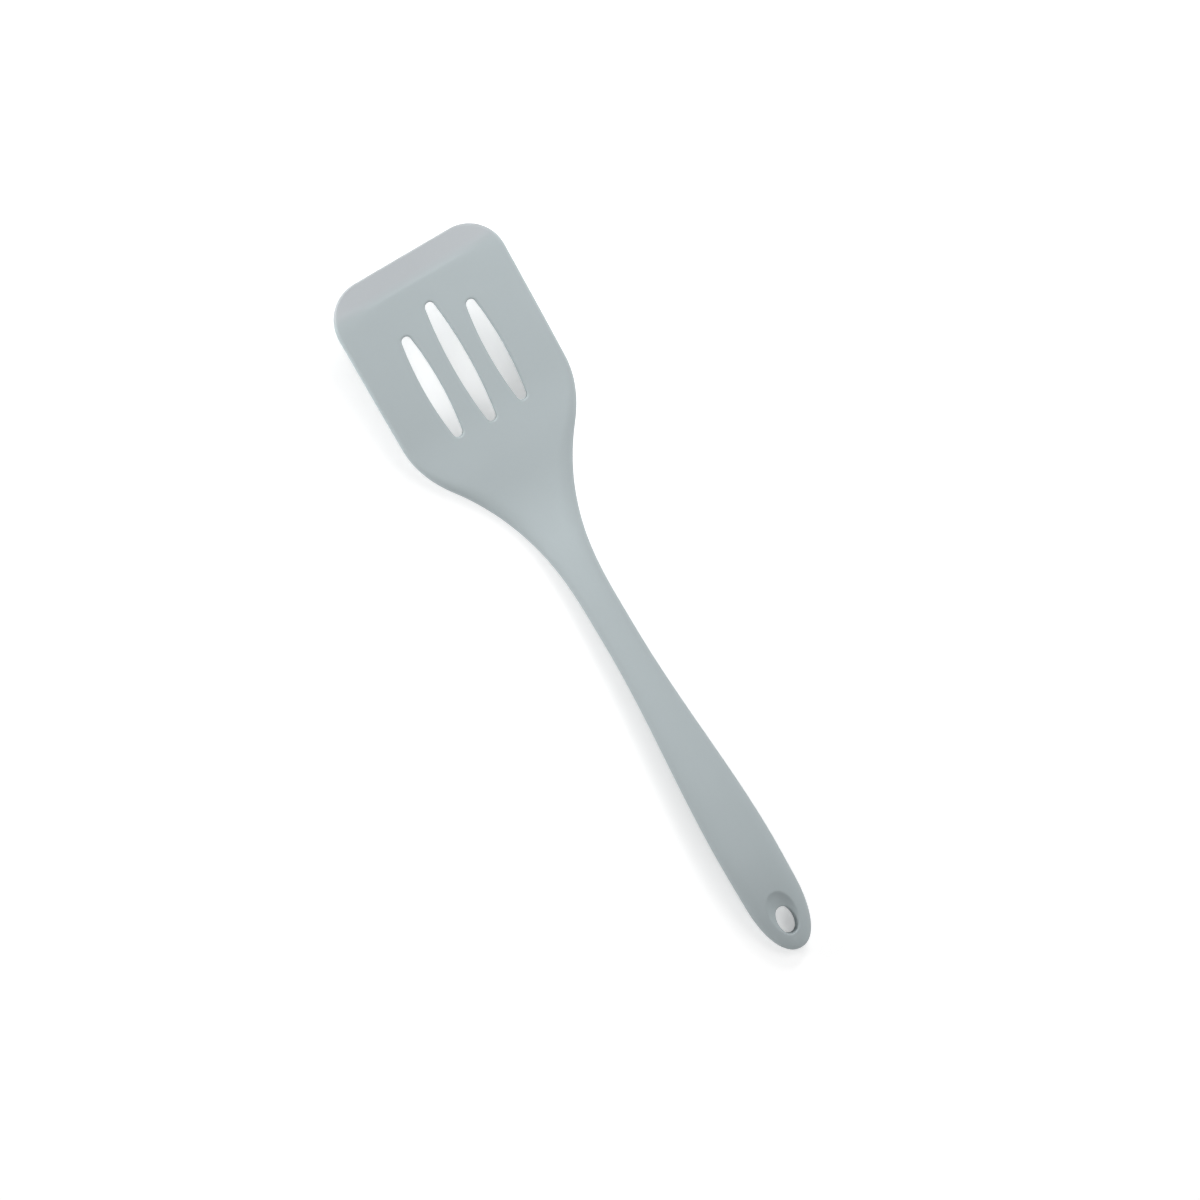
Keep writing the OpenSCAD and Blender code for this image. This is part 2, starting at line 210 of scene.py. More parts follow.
class TurnerHandle(bpy.types.PropertyGroup):
    """Outline and section of the neck and handle, and the hang hole."""

    neck_lead_l: length("Neck lead", "Hollow of the sweep to the start of the neck", 35.5)
    neck_l: length("Neck length", "Length of the narrowest stretch", 13)
    neck_w: length("Neck width", "Width of the neck", 14.5)
    neck_t: length("Neck thickness", "Thickness of the neck", 8.6)
    grip_w: length("Grip width", "Width halfway between neck and palm", 19.3)
    grip_slope: share("Grip slope", "Widening of a side per length there", 0.073)
    palm_l: length("Palm place", "Widest place to the handle's end", 44.5)
    palm_w: length("Palm width", "Width at the widest place", 24.2)
    palm_t: length("Palm thickness", "Thickness at the widest place", 12)
    end_l: length("End length", "Length of the rounded end from above", 27.5)
    tail_w: length("Tail width", "Width where the rounded end begins", 23.8)
    tail_t: length("Tail thickness", "Thickness of the handle's end", 9.1)
    nose_l: length("Nose", "Length over which the end's upper side is rounded", 13.8)
    toe_l: length("Toe", "Length over which the end's underside is rounded", 6)
    arch_h: length("Arch height", "Underside over the table at its crest", 5)
    droop: angle("Droop", "Steepest angle at which the handle falls to the table", 9.6)
    droop_l: length("Droop place", "Steepest place to the place of contact", 9)
    rest_l: length("Rest place", "Place of contact to the handle's end", 5.5)
    toe_h: length("Toe height", "Underside over the table at the end", 0.5)
    grip_roll: share("Grip roll", "Part of the half width that the sides take", 0.86)
    end_power: share("End power", "Power of the curve round the end", 2.2, 4.0)
    hole_l: length("Hole length", "Length of the hang hole", 11.9)
    hole_w: length("Hole width", "Width of the hang hole", 7.5)
    hole_end_w: length("Hole end width", "Width of the hole's round ends", 6)
    hole_to_tip: length("Hole place", "Middle of the hole to the handle's end", 13)
    hole_round: length("Hole rounding", "Rounding of the hole's rims", 0.7)
    dish_l: length("Dish length", "Length of the dish round the hole", 20)
    dish_w: length("Dish width", "Width of the dish", 12.4)
    dish_d: length("Dish depth", "Depth of the dish", 2.2)
    dish_offset: length("Dish offset", "Offset of the dish towards the blade", 1.8)
    dish_tilt: angle("Dish tilt", "Tilt of the dish down towards the handle's end", 9)


class TurnerFinish(bpy.types.PropertyGroup):
    """Colours of the pieces and the floor."""

    silicone: colour("Silicone", "Pale grey silicone", (0.433, 0.487, 0.502))
    # Painted light: the lip's tone stands in for light that comes through the thin silicone
    lip: colour("Lip", "Silicone of the thin lip, which lets light in", (0.438, 0.465, 0.485))
    steel: colour("Steel", "Rolled stainless sheet", (0.56, 0.57, 0.58))
    nylon: colour("Nylon", "Natural glass-filled nylon", (0.70, 0.68, 0.61))
    floor: colour("Floor", "Plain pale floor", (0.9, 0.9, 0.9))


class TurnerStage(bpy.types.PropertyGroup):
    """Camera and light of the stage."""

    camera_height: length("Camera height", "Height of the camera over the table", 1150)
    frame_width: length("Frame width", "Width of the picture on the table", 486.7)
    frame_turn: angle("Frame turn", "Turn of the picture about the vertical", 59.603)
    centre: place("Centre", "Point of the table in mid picture", (-0.00206, 0.00122, 0.0))
    offset: place("Camera offset", "Camera's foot seen from the centre", (0.0, -0.113, 0.0))
    sky: share("Sky", "Strength of the even light from all round", 0.263, 2.0)
    glow: share("Floor glow", "Light that the floor adds towards the camera", 0.34)
    low_place: place("Low place", "Low lamp by the blade", (-0.444, -0.444, 0.168))
    low_size: length("Low size", "Width of the low lamp by the blade", 300)
    low_power: power("Low power", "Power of the low lamp by the blade", 2.99)
    key_place: place("Key place", "Lamp that shades the handle", (-0.377, 0.377, 0.373))
    key_size: length("Key size", "Width of the lamp that shades the handle", 300)
    key_power: power("Key power", "Power of the lamp that shades the handle", 2.0)
    top_place: place("Top place", "Upper lamp", (0.0, 0.325, 0.563))
    top_size: length("Top size", "Width of the upper lamp", 300)
    top_power: power("Top power", "Power of the upper lamp", 0.81)
    end_place: place("End place", "Far lamp behind the handle", (0.919, 0.0, 0.919))
    end_size: length("End size", "Width of the far lamp behind the handle", 600)
    end_power: power("End power", "Power of the far lamp behind the handle", 3.03)


LAMPS = ("low", "key", "top", "end")
GROUPS = {
    "turner_blade": TurnerBlade,
    "turner_handle": TurnerHandle,
    "turner_finish": TurnerFinish,
    "turner_stage": TurnerStage,
}


# ---------------------------------------------------------------- curves


def mix(a, b, u):
    """A value that changes evenly from a to b as u goes from 0 to 1."""
    return a + (b - a) * u


def ease(a, b, u):
    """The same with a soft start and end: u squared times (3 minus 2 u)."""
    v = np.clip(u, 0.0, 1.0)
    return mix(a, b, v * v * (3.0 - 2.0 * v))


def quarter(u):
    """Rise of a quarter circle: the root of 1 minus (1 minus u) squared."""
    v = 1.0 - np.clip(u, 0.0, 1.0)
    return np.sqrt(np.maximum(0.0, 1.0 - v * v))


def knot_curve(knots, x):
    """Cubic through knots of place, value and slope, with both slopes kept at each knot."""
    table = np.array(knots, float)
    i = np.clip(np.searchsorted(table[:, 0], x, side="right") - 1, 0, len(table) - 2)
    p, q = table[i], table[i + 1]
    span = q[..., 0] - p[..., 0]
    u = (x - p[..., 0]) / span
    v = 1.0 - u
    return (
        v * v * (1 + 2 * u) * p[..., 1]
        + u * v * v * span * p[..., 2]
        + u * u * (1 + 2 * v) * q[..., 1]
        - v * u * u * span * q[..., 2]
    )


def soft_min(a, b, k):
    """The lesser of two heights, with the crease between them rounded over a depth k."""
    h = np.clip(0.5 + 0.5 * (b - a) / k, 0.0, 1.0)
    return mix(b, a, h) - k * h * (1.0 - h)


# ---------------------------------------------------------------- the tool's shape

# How many times as long the step behind the lip gets where it fades
STEP_FADE_RUN = 4.0
# Depth over which the dish's edge is rounded
DISH_EDGE = 0.15 * MM
# Keeps the width at the very tip off zero where it divides
TINY = 1e-9


class TurnerShape:
    """Outline and heights of the turner over its plan, from the named sizes."""

    def __init__(self, blade, handle):
        b, h = self.b, self.h = blade, handle
        self.front = -b.total_l / 2
        self.tip = b.total_l / 2
        self.shoulder = self.front + b.shoulder_l
        self.sweep = self.shoulder + b.sweep_l
        self.hollow = self.sweep + b.hollow_l
        self.neck = self.hollow + h.neck_lead_l
        self.grip = self.neck + h.neck_l
        self.palm = self.tip - h.palm_l
        self.tail = self.tip - h.end_l
        self.sole_end = self.front + b.sole_l
        self.heel_end = self.sole_end + b.heel_roll_l
        self.rest = self.tip - h.rest_l
        self.crest = (self.heel_end + self.rest) / 2
        self.lip = self.front + b.lip_l
        self.hole = self.tip - h.hole_to_tip

        side_slope = (b.heel_w - b.blade_w) / 2 / b.shoulder_l
        tail_slope = (h.tail_w - h.palm_w) / 2 / (self.tail - self.palm)
        self.width_knots = [
            (self.front, b.blade_w / 2, side_slope),
            (self.shoulder, b.heel_w / 2, 2 * side_slope),
            (self.sweep, b.sweep_w / 2, -b.sweep_slope),
            (self.hollow, b.hollow_w / 2, -b.hollow_slope),
            (self.neck, h.neck_w / 2, 0.0),
            (self.grip, h.neck_w / 2, 0.0),
            ((self.grip + self.palm) / 2, h.grip_w / 2, h.grip_slope),
            (self.palm, h.palm_w / 2, 0.0),
            (self.tail, h.tail_w / 2, tail_slope),
            (self.tip, h.tail_w / 2, 0.0),
        ]
        heel_rise = (h.neck_t - b.blade_t) / (self.neck - self.shoulder)
        self.thick_knots = [
            (self.front, b.blade_t, 0.0),
            (self.shoulder, b.blade_t, 0.0),
            (self.sweep, b.heel_t, heel_rise),
            (self.neck, h.neck_t, 0.0),
            (self.palm, h.palm_t, 0.0),
            (self.tip, h.tail_t, (h.tail_t - h.palm_t) / h.palm_l),
        ]
        self.sole_slope = -math.tan(b.tilt)
        self.neck_slope = math.tan(b.neck_rise)
        self.heel_turn = (self.neck_slope - self.sole_slope) / b.heel_roll_l
        fall = math.tan(h.droop)
        self.arch_knots = [
            (self.heel_end, float(self.heel_z(self.heel_end)), self.neck_slope),
            (self.crest, h.arch_h, 0.0),
            (self.rest - h.droop_l, fall * h.droop_l / 2, -fall),
            (self.rest, 0.0, 0.0),
            (self.tip, h.toe_h, 2 * h.toe_h / h.rest_l),
        ]
        self.lift = float(self.under(self.front))

    def half_w(self, x):
        """Half width: the knots' curve, less the front corners' arc, times the end's curve."""
        r = self.b.corner_r
        cut = r * (1.0 - quarter((x - self.front) / r))
        u = np.clip((x - self.tail) / self.h.end_l, 0.0, 1.0)
        end = np.maximum(0.0, 1.0 - u**self.h.end_power) ** (1.0 / self.h.end_power)
        return (knot_curve(self.width_knots, x) - cut) * end

    def edge_gap(self, x, y):
        """Distance in plan from the outline: a round-cornered box in front, across behind."""
        r = self.b.corner_r
        qx = np.maximum(0.0, self.front + r - x)
        qy = np.maximum(0.0, np.abs(y) - (knot_curve(self.width_knots, x) - r))
        corner = r - np.hypot(qx, qy)
        return np.where(x < self.front + r, corner, self.half_w(x) - np.abs(y))

    def heel_z(self, x):
        """Height of the heel's underside: a parabola that touches the sole and the neck."""
        d = x - (self.sole_end - self.sole_slope / self.heel_turn)
        return self.heel_turn * d * d / 2

    def under(self, x):
        """Height of the underside: the flat sole, the heel's roll and the handle's arch."""
        sole = self.heel_z(self.sole_end) + self.sole_slope * (x - self.sole_end)
        arch = knot_curve(self.arch_knots, x)
        behind = np.where(x < self.heel_end, self.heel_z(x), arch)
        return np.where(x < self.sole_end, sole, behind)

    def body_t(self, x):
        """Thickness without the lip and the rounded ends."""
        return knot_curve(self.thick_knots, x)

    def thick(self, x, y):
        """Thickness: the lip's taper steps up to the blade, and the step fades sideways."""
        b = self.b
        along = np.clip((x - self.front) / b.lip_l, 0.0, 1.0)
        taper = mix(b.lip_edge_t, b.lip_root_t, along)
        fade = ease(0.0, 1.0, (np.abs(y) - b.step_fade_y) / b.step_fade_y)
        run = b.step_l * mix(1.0, STEP_FADE_RUN, fade)
        step = ease(0.0, 1.0, (x - self.lip + (run - b.step_l) / 2) / run)
        return mix(taper, self.body_t(x), step)

    def section(self, x, y, nose_l):
        """Middle height and half thickness: the thickness times a quarter ellipse at the side.

        Over the length nose_l the end is a quarter ellipse seen from the side too.
        """
        t = self.thick(x, y)
        a = self.half_w(x)
        u = (x - self.shoulder) / (self.neck - self.shoulder)
        roll = ease(t / 2, self.h.grip_roll * a, u)
        roll = np.minimum(roll, np.maximum(self.h.grip_roll * a, t / 2))
        rise = quarter(self.edge_gap(x, y) / np.maximum(roll, TINY))
        nose = quarter((self.tip - x) / nose_l)
        return self.under(x) + t / 2, t / 2 * rise * nose

    def bottom(self, x, y):
        """Height of the underside at a place of the plan."""
        mid, half = self.section(x, y, self.h.toe_l)
        return mid - half

    def dish(self, x, y):
        """Height of the dish, the underside of a flattened and tilted ball, and where it is.

        The ball's centre lies one depth over the surface and its upright radius is two
        depths, so that the surface cuts it at half the root of 3 of its other radii. In
        its own axes the squares of the places over the radii add up to 1, which is a
        quadratic in the height, and its lower root is taken.
        """
        h = self.h
        chord = math.sqrt(3.0) / 2.0
        size = np.array([h.dish_l / 2 / chord, h.dish_w / 2 / chord, 2 * h.dish_d])
        near = self.hole - h.dish_offset
        d = x - near
        cos, sin = math.cos(h.dish_tilt), math.sin(h.dish_tilt)
        flat, tall = 1.0 / size[0] ** 2, 1.0 / size[2] ** 2
        p = sin * sin * flat + cos * cos * tall
        q = d * sin * cos * (tall - flat)
        r = d * d * (cos * cos * flat + sin * sin * tall) + (y / size[1]) ** 2 - 1.0
        root = q * q - p * r
        centre = float(self.under(near) + self.body_t(near)) + h.dish_d
        return centre - (q + np.sqrt(np.maximum(0.0, root))) / p, root > 0.0

    def top(self, x, y):
        """Height of the upper side, with the dish sunk into it under a soft rim."""
        mid, half = self.section(x, y, self.h.nose_l)
        surface = mid + half
        dish, inside = self.dish(x, y)
        return np.where(inside, soft_min(surface, dish, DISH_EDGE), surface)


# ---------------------------------------------------------------- ovals and rims

ACROSS = np.array([0.0, 1.0, 0.0])
MEET_STEPS = 6


class Oval:
    """A hole's outline of four tangent arcs, met by an axis that leans in the XZ plane."""

    def __init__(self, size, end_w, origin, lean, rounding, at):
        """size is length and width, origin the place of at = 0, lean the axis's angle."""
        self.l, self.w = size
        self.end_w = end_w
        self.rounding = rounding
        self.along = np.array([math.cos(lean), 0.0, -math.sin(lean)])
        self.axis = np.array([math.sin(lean), 0.0, math.cos(lean)])
        self.centre = np.array(origin) + self.along * at[0] + ACROSS * at[1]

    def loop(self, count, first):
        """Arc centres, radii and normals at even steps of arc length round the rim.

        The walk starts at the front end, shifted back by first steps, and runs
        clockwise seen from above.
        """
        c = (self.l - self.end_w) / 2
        e = self.end_w / 2
        r = (c * c + self.w * self.w / 4 - e * e) / (self.w - self.end_w)
        half = math.atan2(c, r - self.w / 2)
        bends = [QUARTER_TURN + half, QUARTER_TURN - half]
        turns = np.array([math.pi, *bends, -bends[1], -bends[0], -math.pi])
        radii = np.array([e, r, e, r, e])
        centres = np.array(
            [[-c, 0.0], [0.0, self.w / 2 - r], [c, 0.0], [0.0, r - self.w / 2], [-c, 0.0]]
        )
        runs = -np.diff(turns) * (radii + self.rounding)
        walked = np.concatenate([[0.0], np.cumsum(runs)])
        walk = ((np.arange(count) - first) / count % 1.0) * walked[-1]
        arc = np.clip(np.searchsorted(walked, walk, side="right") - 1, 0, len(radii) - 1)
        turn = turns[arc] - (walk - walked[arc]) / (radii[arc] + self.rounding)
        normals = np.stack([np.cos(turn), np.sin(turn)], 1)
        return centres[arc], radii[arc], normals

    def meet(self, loop, grow, surface):
        """Points of the outline, widened by grow, carried along the axis to a surface.

        Each step goes along the axis by the height still missing times the axis's rise.
        """
        centres, radii, normals = loop
        plan = centres + (radii + grow)[:, None] * normals
        points = self.centre + plan[:, :1] * self.along + plan[:, 1:] * ACROSS
        for _ in range(MEET_STEPS):
            miss = surface(points[:, 0], points[:, 1]) - points[:, 2]
            points = points + (miss * self.axis[2])[:, None] * self.axis
        return points


# ---------------------------------------------------------------- grid of the jacket

# Columns from the middle to a side: all, those of the blade's flat, and those that shift
HALF_COLUMNS = 40
FLAT_COLUMNS = 33
FREE_COLUMNS = 31
# Rows of the front corners, and of the tip, where they close up by a power
CORNER_ROWS = 28
TIP_ROWS = 26
TIP_ROWS_L = 9 * MM
TIP_ROWS_POWER = 2.4
# Steps between the other rows; the dish's start this share of its length before its middle
ROW_STEPS = {"blade": 0.9 * MM, "grip": 1.5 * MM, "dish": 0.5 * MM}
DISH_ROWS_SHARE = 0.65
# Rows that shift start and end at these shares of the corners' radius and the tip's rows
FREE_CORNER = 0.8
FREE_TIP = 0.4
RELAX_STEPS = 900
# Steps down a rim: each rounding, and the wall between
ROUND_STEPS = 6
WALL_STEPS = 4


def even_rows(start, end, step):
    """Places from start up to but not at end, about one step apart."""
    return np.linspace(start, end, max(2, round((end - start) / step) + 1))[:-1]


def grid_rows(shape):
    """Places along the length: close at the front edge, the dish and the tip."""
    r = shape.b.corner_r
    corner_end = shape.front + r
    turn = np.linspace(0.0, QUARTER_TURN, CORNER_ROWS + 1)[:-1]
    dish_start = shape.hole - shape.h.dish_offset - DISH_ROWS_SHARE * shape.h.dish_l
    tip_start = shape.tip - TIP_ROWS_L
    left = 1.0 - np.linspace(0.0, 1.0, TIP_ROWS + 1)
    return np.concatenate(
        [
            shape.front + r * (1.0 - np.cos(turn)),
            even_rows(corner_end, shape.sweep, ROW_STEPS["blade"]),
            even_rows(shape.sweep, dish_start, ROW_STEPS["grip"]),
            even_rows(dish_start, tip_start, ROW_STEPS["dish"]),
            shape.tip - TIP_ROWS_L * left**TIP_ROWS_POWER,
        ]
    )


def grid_plan(shape, rows):
    """Plan of the grid: even columns with a rounded side on the blade, sines on the handle."""
    s = np.arange(-HALF_COLUMNS, HALF_COLUMNS + 1) / HALF_COLUMNS
    side = np.sign(s)
    size = np.abs(s)
    flat_share = FLAT_COLUMNS / HALF_COLUMNS
    a = shape.half_w(rows)[:, None]
    half_t = shape.thick(rows, np.zeros_like(rows))[:, None] / 2
    roll = np.minimum(half_t, shape.h.grip_roll * a)
    turn = np.clip((size - flat_share) / (1.0 - flat_share), 0.0, 1.0) * QUARTER_TURN
    flat = np.clip(size / flat_share, 0.0, 1.0)
    on_blade = (a - roll) * flat + roll * np.sin(turn)
    on_handle = a * np.sin(size * QUARTER_TURN)
    u = (rows[:, None] - shape.shoulder) / (shape.hollow - shape.shoulder)
    y = side * ease(on_blade, on_handle, u)
    x = np.broadcast_to(rows[:, None], y.shape)
    return np.stack([x, y], 2)


def block_loop(block):
    """Row and column indices round a block, clockwise from its front low corner."""
    i0, i1, j0, j1 = block
    rows, cols = np.arange(i0, i1), np.arange(j0, j1)
    i = np.concatenate([np.full(len(cols), i0), rows, np.full(len(cols), i1), rows[::-1] + 1])
    j = np.concatenate([cols, np.full(len(rows), j1), cols[::-1] + 1, np.full(len(rows), j0)])
    return i, j


def relaxed(plan, edges, targets, free):
    """Plan in which each block's edge lies on its target and the rest follows softly.

    The shift of each free node becomes the mean of its four neighbours' shifts, over and
    over, as heat spreads through a plate.
    """
    shift = np.zeros_like(plan)
    held = ~free
    for (i, j), target in zip(edges, targets):
        shift[i, j] = target - plan[i, j]
        held[i, j] = True
    kept = shift.copy()
    for _ in range(RELAX_STEPS):
        mean = shift.copy()
        mean[1:-1, 1:-1] = (
            shift[2:, 1:-1] + shift[:-2, 1:-1] + shift[1:-1, 2:] + shift[1:-1, :-2]
        ) / 4
        shift = np.where(held[..., None], kept, mean)
    return plan + shift


def quads(a, b, c, d):
    """Rows of four corner indices from four index arrays."""
    return np.stack([a.ravel(), b.ravel(), c.ravel(), d.ravel()], 1)


def nearest(places, goal):
    """Index of the place nearest to a goal."""
    return int(np.argmin(np.abs(places - goal)))


def jacket_ovals(shape):
    """The three drain slots, square to the sole, and the upright hang hole."""
    b, h = shape.b, shape.h
    sole = (shape.front, 0.0, shape.lift)
    middle = (b.mid_slot_l, b.mid_slot_w)
    side = (b.side_slot_l, b.side_slot_w)
    slots = [
        Oval(size, b.slot_end_w, sole, b.tilt, b.slot_round, (start + size[0] / 2, y))
        for size, start, y in (
            (middle, b.mid_slot_front, 0.0),
            (side, b.side_slot_front, b.slot_pitch),
            (side, b.side_slot_front, -b.slot_pitch),
        )
    ]
    below = (shape.hole, 0.0, 0.0)
    hole = Oval((h.hole_l, h.hole_w), h.hole_end_w, below, 0.0, h.hole_round, (0.0, 0.0))
    return slots + [hole]


def block_of(plan, oval):
    """Index block of the grid that lies under an oval, with an even number of columns."""
    reach_x = (oval.l / 2 + oval.rounding) * oval.along[0]
    reach_y = oval.w / 2 + oval.rounding / 2
    rows = plan[:, HALF_COLUMNS, 0]
    i0, i1 = (nearest(rows, oval.centre[0] + side * reach_x) for side in (-1, 1))
    across = plan[(i0 + i1) // 2, :, 1]
    j0, j1 = (nearest(across, oval.centre[1] + side * reach_y) for side in (-1, 1))
    return i0, i1, j0, j1 + (j1 - j0) % 2


def free_nodes(shape, rows):
    """Which nodes may shift: those away from the sides, the front corners and the tip."""
    free = np.zeros((len(rows), 2 * HALF_COLUMNS + 1), bool)
    middle = slice(HALF_COLUMNS - FREE_COLUMNS, HALF_COLUMNS + FREE_COLUMNS + 1)
    after_corner = rows > shape.front + FREE_CORNER * shape.b.corner_r
    before_tip = rows < shape.tip - FREE_TIP * TIP_ROWS_L
    free[:, middle] = (after_corner & before_tip)[:, None]
    return free


def sheet_faces(top, bottom, keep):
    """The kept cells of both sheets, and the triangles between the last row and the tip."""
    faces, tips = [], []
    for index, flip in ((top, False), (bottom, True)):
        cell = [index[:-1, :-1], index[1:, :-1], index[1:, 1:], index[:-1, 1:]]
        a, b = index[-2, :-1], index[-2, 1:]
        if flip:
            cell, a, b = cell[::-1], b, a
        faces.append(quads(*[corner[keep] for corner in cell]))
        tips.append(np.stack([a, np.full(len(a), index[-1, 0]), b], 1))
    return faces, tips


def rim_strip(shape, oval, loop):
    """Rows of points down an oval: a quarter circle, a straight wall, a quarter circle."""
    turn = np.linspace(0.0, QUARTER_TURN, ROUND_STEPS + 1)[1:]
    upper, lower = (
        [
            oval.meet(loop, oval.rounding * (1.0 - math.sin(t)), surface)
            + sign * oval.rounding * (1.0 - math.cos(t)) * oval.axis
            for t in turn
        ]
        for surface, sign in ((shape.top, -1.0), (shape.bottom, 1.0))
    )
    wall = [mix(upper[-1], lower[-1], k / WALL_STEPS) for k in range(1, WALL_STEPS)]
    return np.array(upper + wall + lower[::-1])


def jacket_surface(shape):
    """Points, faces and tip triangles of the jacket's outside.

    Two height fields over one grid meet at the outline. Where an oval goes through, a
    block of cells is left out, its edge is laid on the oval widened by the rounding, and
    a strip joins the two edges.
    """
    rows = grid_rows(shape)
    plan = grid_plan(shape, rows)
    free = free_nodes(shape, rows)
    ovals = jacket_ovals(shape)
    blocks = [block_of(plan, oval) for oval in ovals]
    edges = [block_loop(block) for block in blocks]
    loops = [
        oval.loop(len(i), (j1 - j0) // 2)
        for oval, (i, _), (_, _, j0, j1) in zip(ovals, edges, blocks)
    ]
    points = []
    for surface in (shape.top, shape.bottom):
        targets = [oval.meet(loop, oval.rounding, surface) for oval, loop in zip(ovals, loops)]
        flat = relaxed(plan, edges, [target[:, :2] for target in targets], free)
        sheet = np.dstack([flat, surface(flat[..., 0], flat[..., 1])])
        points.append(sheet.reshape(-1, 3))

    # The outline's nodes belong to both sheets, and the last row is one point
    n, m = plan.shape[:2]
    top = np.arange(n * m).reshape(n, m)
    top[-1] = top[-1, 0]
    bottom = top + n * m
    for shared in (0, -1):
        bottom[shared] = top[shared]
        bottom[:, shared] = top[:, shared]
    keep = np.ones((n - 1, m - 1), bool)
    keep[-1] = False
    for i0, i1, j0, j1 in blocks:
        keep[i0:i1, j0:j1] = False
    faces, tips = sheet_faces(top, bottom, keep)

    used = 2 * n * m
    for oval, loop, (i, j) in zip(ovals, loops, edges):
        strip = rim_strip(shape, oval, loop)
        index = used + np.arange(strip.size // 3).reshape(strip.shape[:2])
        used += index.size
        points.append(strip.reshape(-1, 3))
        index = np.vstack([top[i, j], index, bottom[i, j]])
        after = np.roll(index, -1, axis=1)
        faces.append(quads(index[:-1], index[1:], after[1:], after[:-1]))
    return np.vstack(points), np.vstack(faces), np.vstack(tips)


# ---------------------------------------------------------------- meshes

# Corners of the CAD mesh nearer than this are one
MERGE = 1e-7


def cavity_of(node):
    """Points and triangles of a CAD node's inner shells, from a merged copy of its mesh."""
    copy = bmesh.new()
    copy.from_mesh(frame["nodes"][node].data)
    bmesh.ops.remove_doubles(copy, verts=copy.verts, dist=MERGE)
    copy.verts.ensure_lookup_table()
    edges = np.array([[v.index for v in e.verts] for e in copy.edges])
    group = np.arange(len(copy.verts))
    while True:
        low = np.minimum(group[edges[:, 0]], group[edges[:, 1]])
        new = group.copy()
        np.minimum.at(new, edges[:, 0], low)
        np.minimum.at(new, edges[:, 1], low)
        if (new == group).all():
            break
        group = new
    places = np.array([v.co for v in copy.verts])
    outer = group[int(np.argmax(places[:, 0]))]
    triangles = np.array([[v.index for v in f.verts] for f in copy.faces])
    copy.free()
    triangles = triangles[group[triangles[:, 0]] != outer]
    used, inverse = np.unique(triangles, return_inverse=True)
    return places[used], inverse.reshape(triangles.shape)


def mesh_object(name, points, faces):
    """A smooth mesh object from whole arrays; points that no face uses are left out."""
    used = np.unique(np.concatenate([f.ravel() for f in faces]))
    number = np.full(len(points), -1)
    number[used] = np.arange(len(used))
    sizes = np.concatenate([np.full(len(f), f.shape[1]) for f in faces])
    corners = np.concatenate([number[f].ravel() for f in faces]).astype(np.int32)
    mesh = bpy.data.meshes.new(name)
    mesh.vertices.add(len(used))
    mesh.vertices.foreach_set("co", points[used].astype(np.float32).ravel())
    mesh.loops.add(len(corners))
    mesh.loops.foreach_set("vertex_index", corners)
    mesh.polygons.add(len(sizes))
    starts = np.concatenate([[0], np.cumsum(sizes)[:-1]]).astype(np.int32)
    mesh.polygons.foreach_set("loop_start", starts)
    mesh.update(calc_edges=True)
    mesh.validate()
    mesh.polygons.foreach_set("use_smooth", np.ones(len(mesh.polygons), bool))
    thing = bpy.data.objects.new(name, mesh)
    bpy.context.scene.collection.objects.link(thing)
    return thing


# ---------------------------------------------------------------- shader maths


class Wire:
    """A socket's output that can be added, multiplied and so on with numbers and wires."""

    def __init__(self, shader, socket):
        self.shader = shader
        self.socket = socket

    def _math(self, operation, a, b, clamp=False):
        settings = {"operation": operation, "use_clamp": clamp}
        return self.shader.node("ShaderNodeMath", {0: a, 1: b}, settings)

    def __add__(self, other):
        return self._math("ADD", self, other)

    def __radd__(self, other):
        return self._math("ADD", other, self)

    def __sub__(self, other):
        return self._math("SUBTRACT", self, other)

    def __mul__(self, other):
        return self._math("MULTIPLY", self, other)

    def __truediv__(self, other):
        return self._math("DIVIDE", self, other)

    def clamped(self):
        """The value held between 0 and 1."""
        return self._math("ADD", self, 0.0, clamp=True)


# The Mix node's sockets for two colours and for their mixture
MIX_A, MIX_B, MIX_OUT = 6, 7, 2


class Shader:
    """A material's node tree, with one method that adds any node."""

    def __init__(self, name):
        self.material = bpy.data.materials.new(name)
        self.material.use_nodes = True
        self.tree = self.material.node_tree
        self.tree.nodes.clear()

    def node(self, kind, values=None, settings=None, out=0):
        """Adds a node: its settings first, then its sockets' values or links."""
        made = self.tree.nodes.new(kind)
        for key, value in (settings or {}).items():
            setattr(made, key, value)
        for key, value in (values or {}).items():
            socket = made.inputs[key]
            if isinstance(value, Wire):
                self.tree.links.new(value.socket, socket)
            else:
                socket.default_value = value
        return Wire(self, made.outputs[out]) if len(made.outputs) else None

    def place(self):
        """Object coordinates."""
        return self.node("ShaderNodeTexCoord", out="Object")

    def stretched(self, where, factor):
        """Coordinates that draw a texture out along X, which is scaled by a factor."""
        return self.node("ShaderNodeMapping", {"Vector": where, "Scale": (factor, 1.0, 1.0)})

    def noise(self, where, scale, detail=2.0, roughness=0.5):
        """Soft noise between 0 and 1, with scale in spots per metre."""
        return self.node(
            "ShaderNodeTexNoise",
            {"Vector": where, "Scale": scale, "Detail": detail, "Roughness": roughness},
        )

    def mixed(self, factor, a, b):
        """A colour between two colours or wires of colour."""
        values = {"Factor": factor, MIX_A: a, MIX_B: b}
        return self.node("ShaderNodeMix", values, {"data_type": "RGBA"}, MIX_OUT)

    def varied(self, factor, tone, low, high):
        """A tone that runs from low to high times itself."""
        return self.mixed(factor, scaled(tone, low), scaled(tone, high))

    def bump(self, height, distance, strength):
        """A normal bent by a height between 0 and 1 over a distance in metres."""
        values = {"Height": height, "Distance": distance, "Strength": strength}
        return self.node("ShaderNodeBump", values)

    def finish(self, surface):
        """Ends the tree in a surface shader."""
        self.node("ShaderNodeOutputMaterial", {"Surface": surface})
        return self.material

    def principled(self, values):
        """Ends the tree in a Principled surface with the given sockets."""
        return self.finish(self.node("ShaderNodeBsdfPrincipled", values))


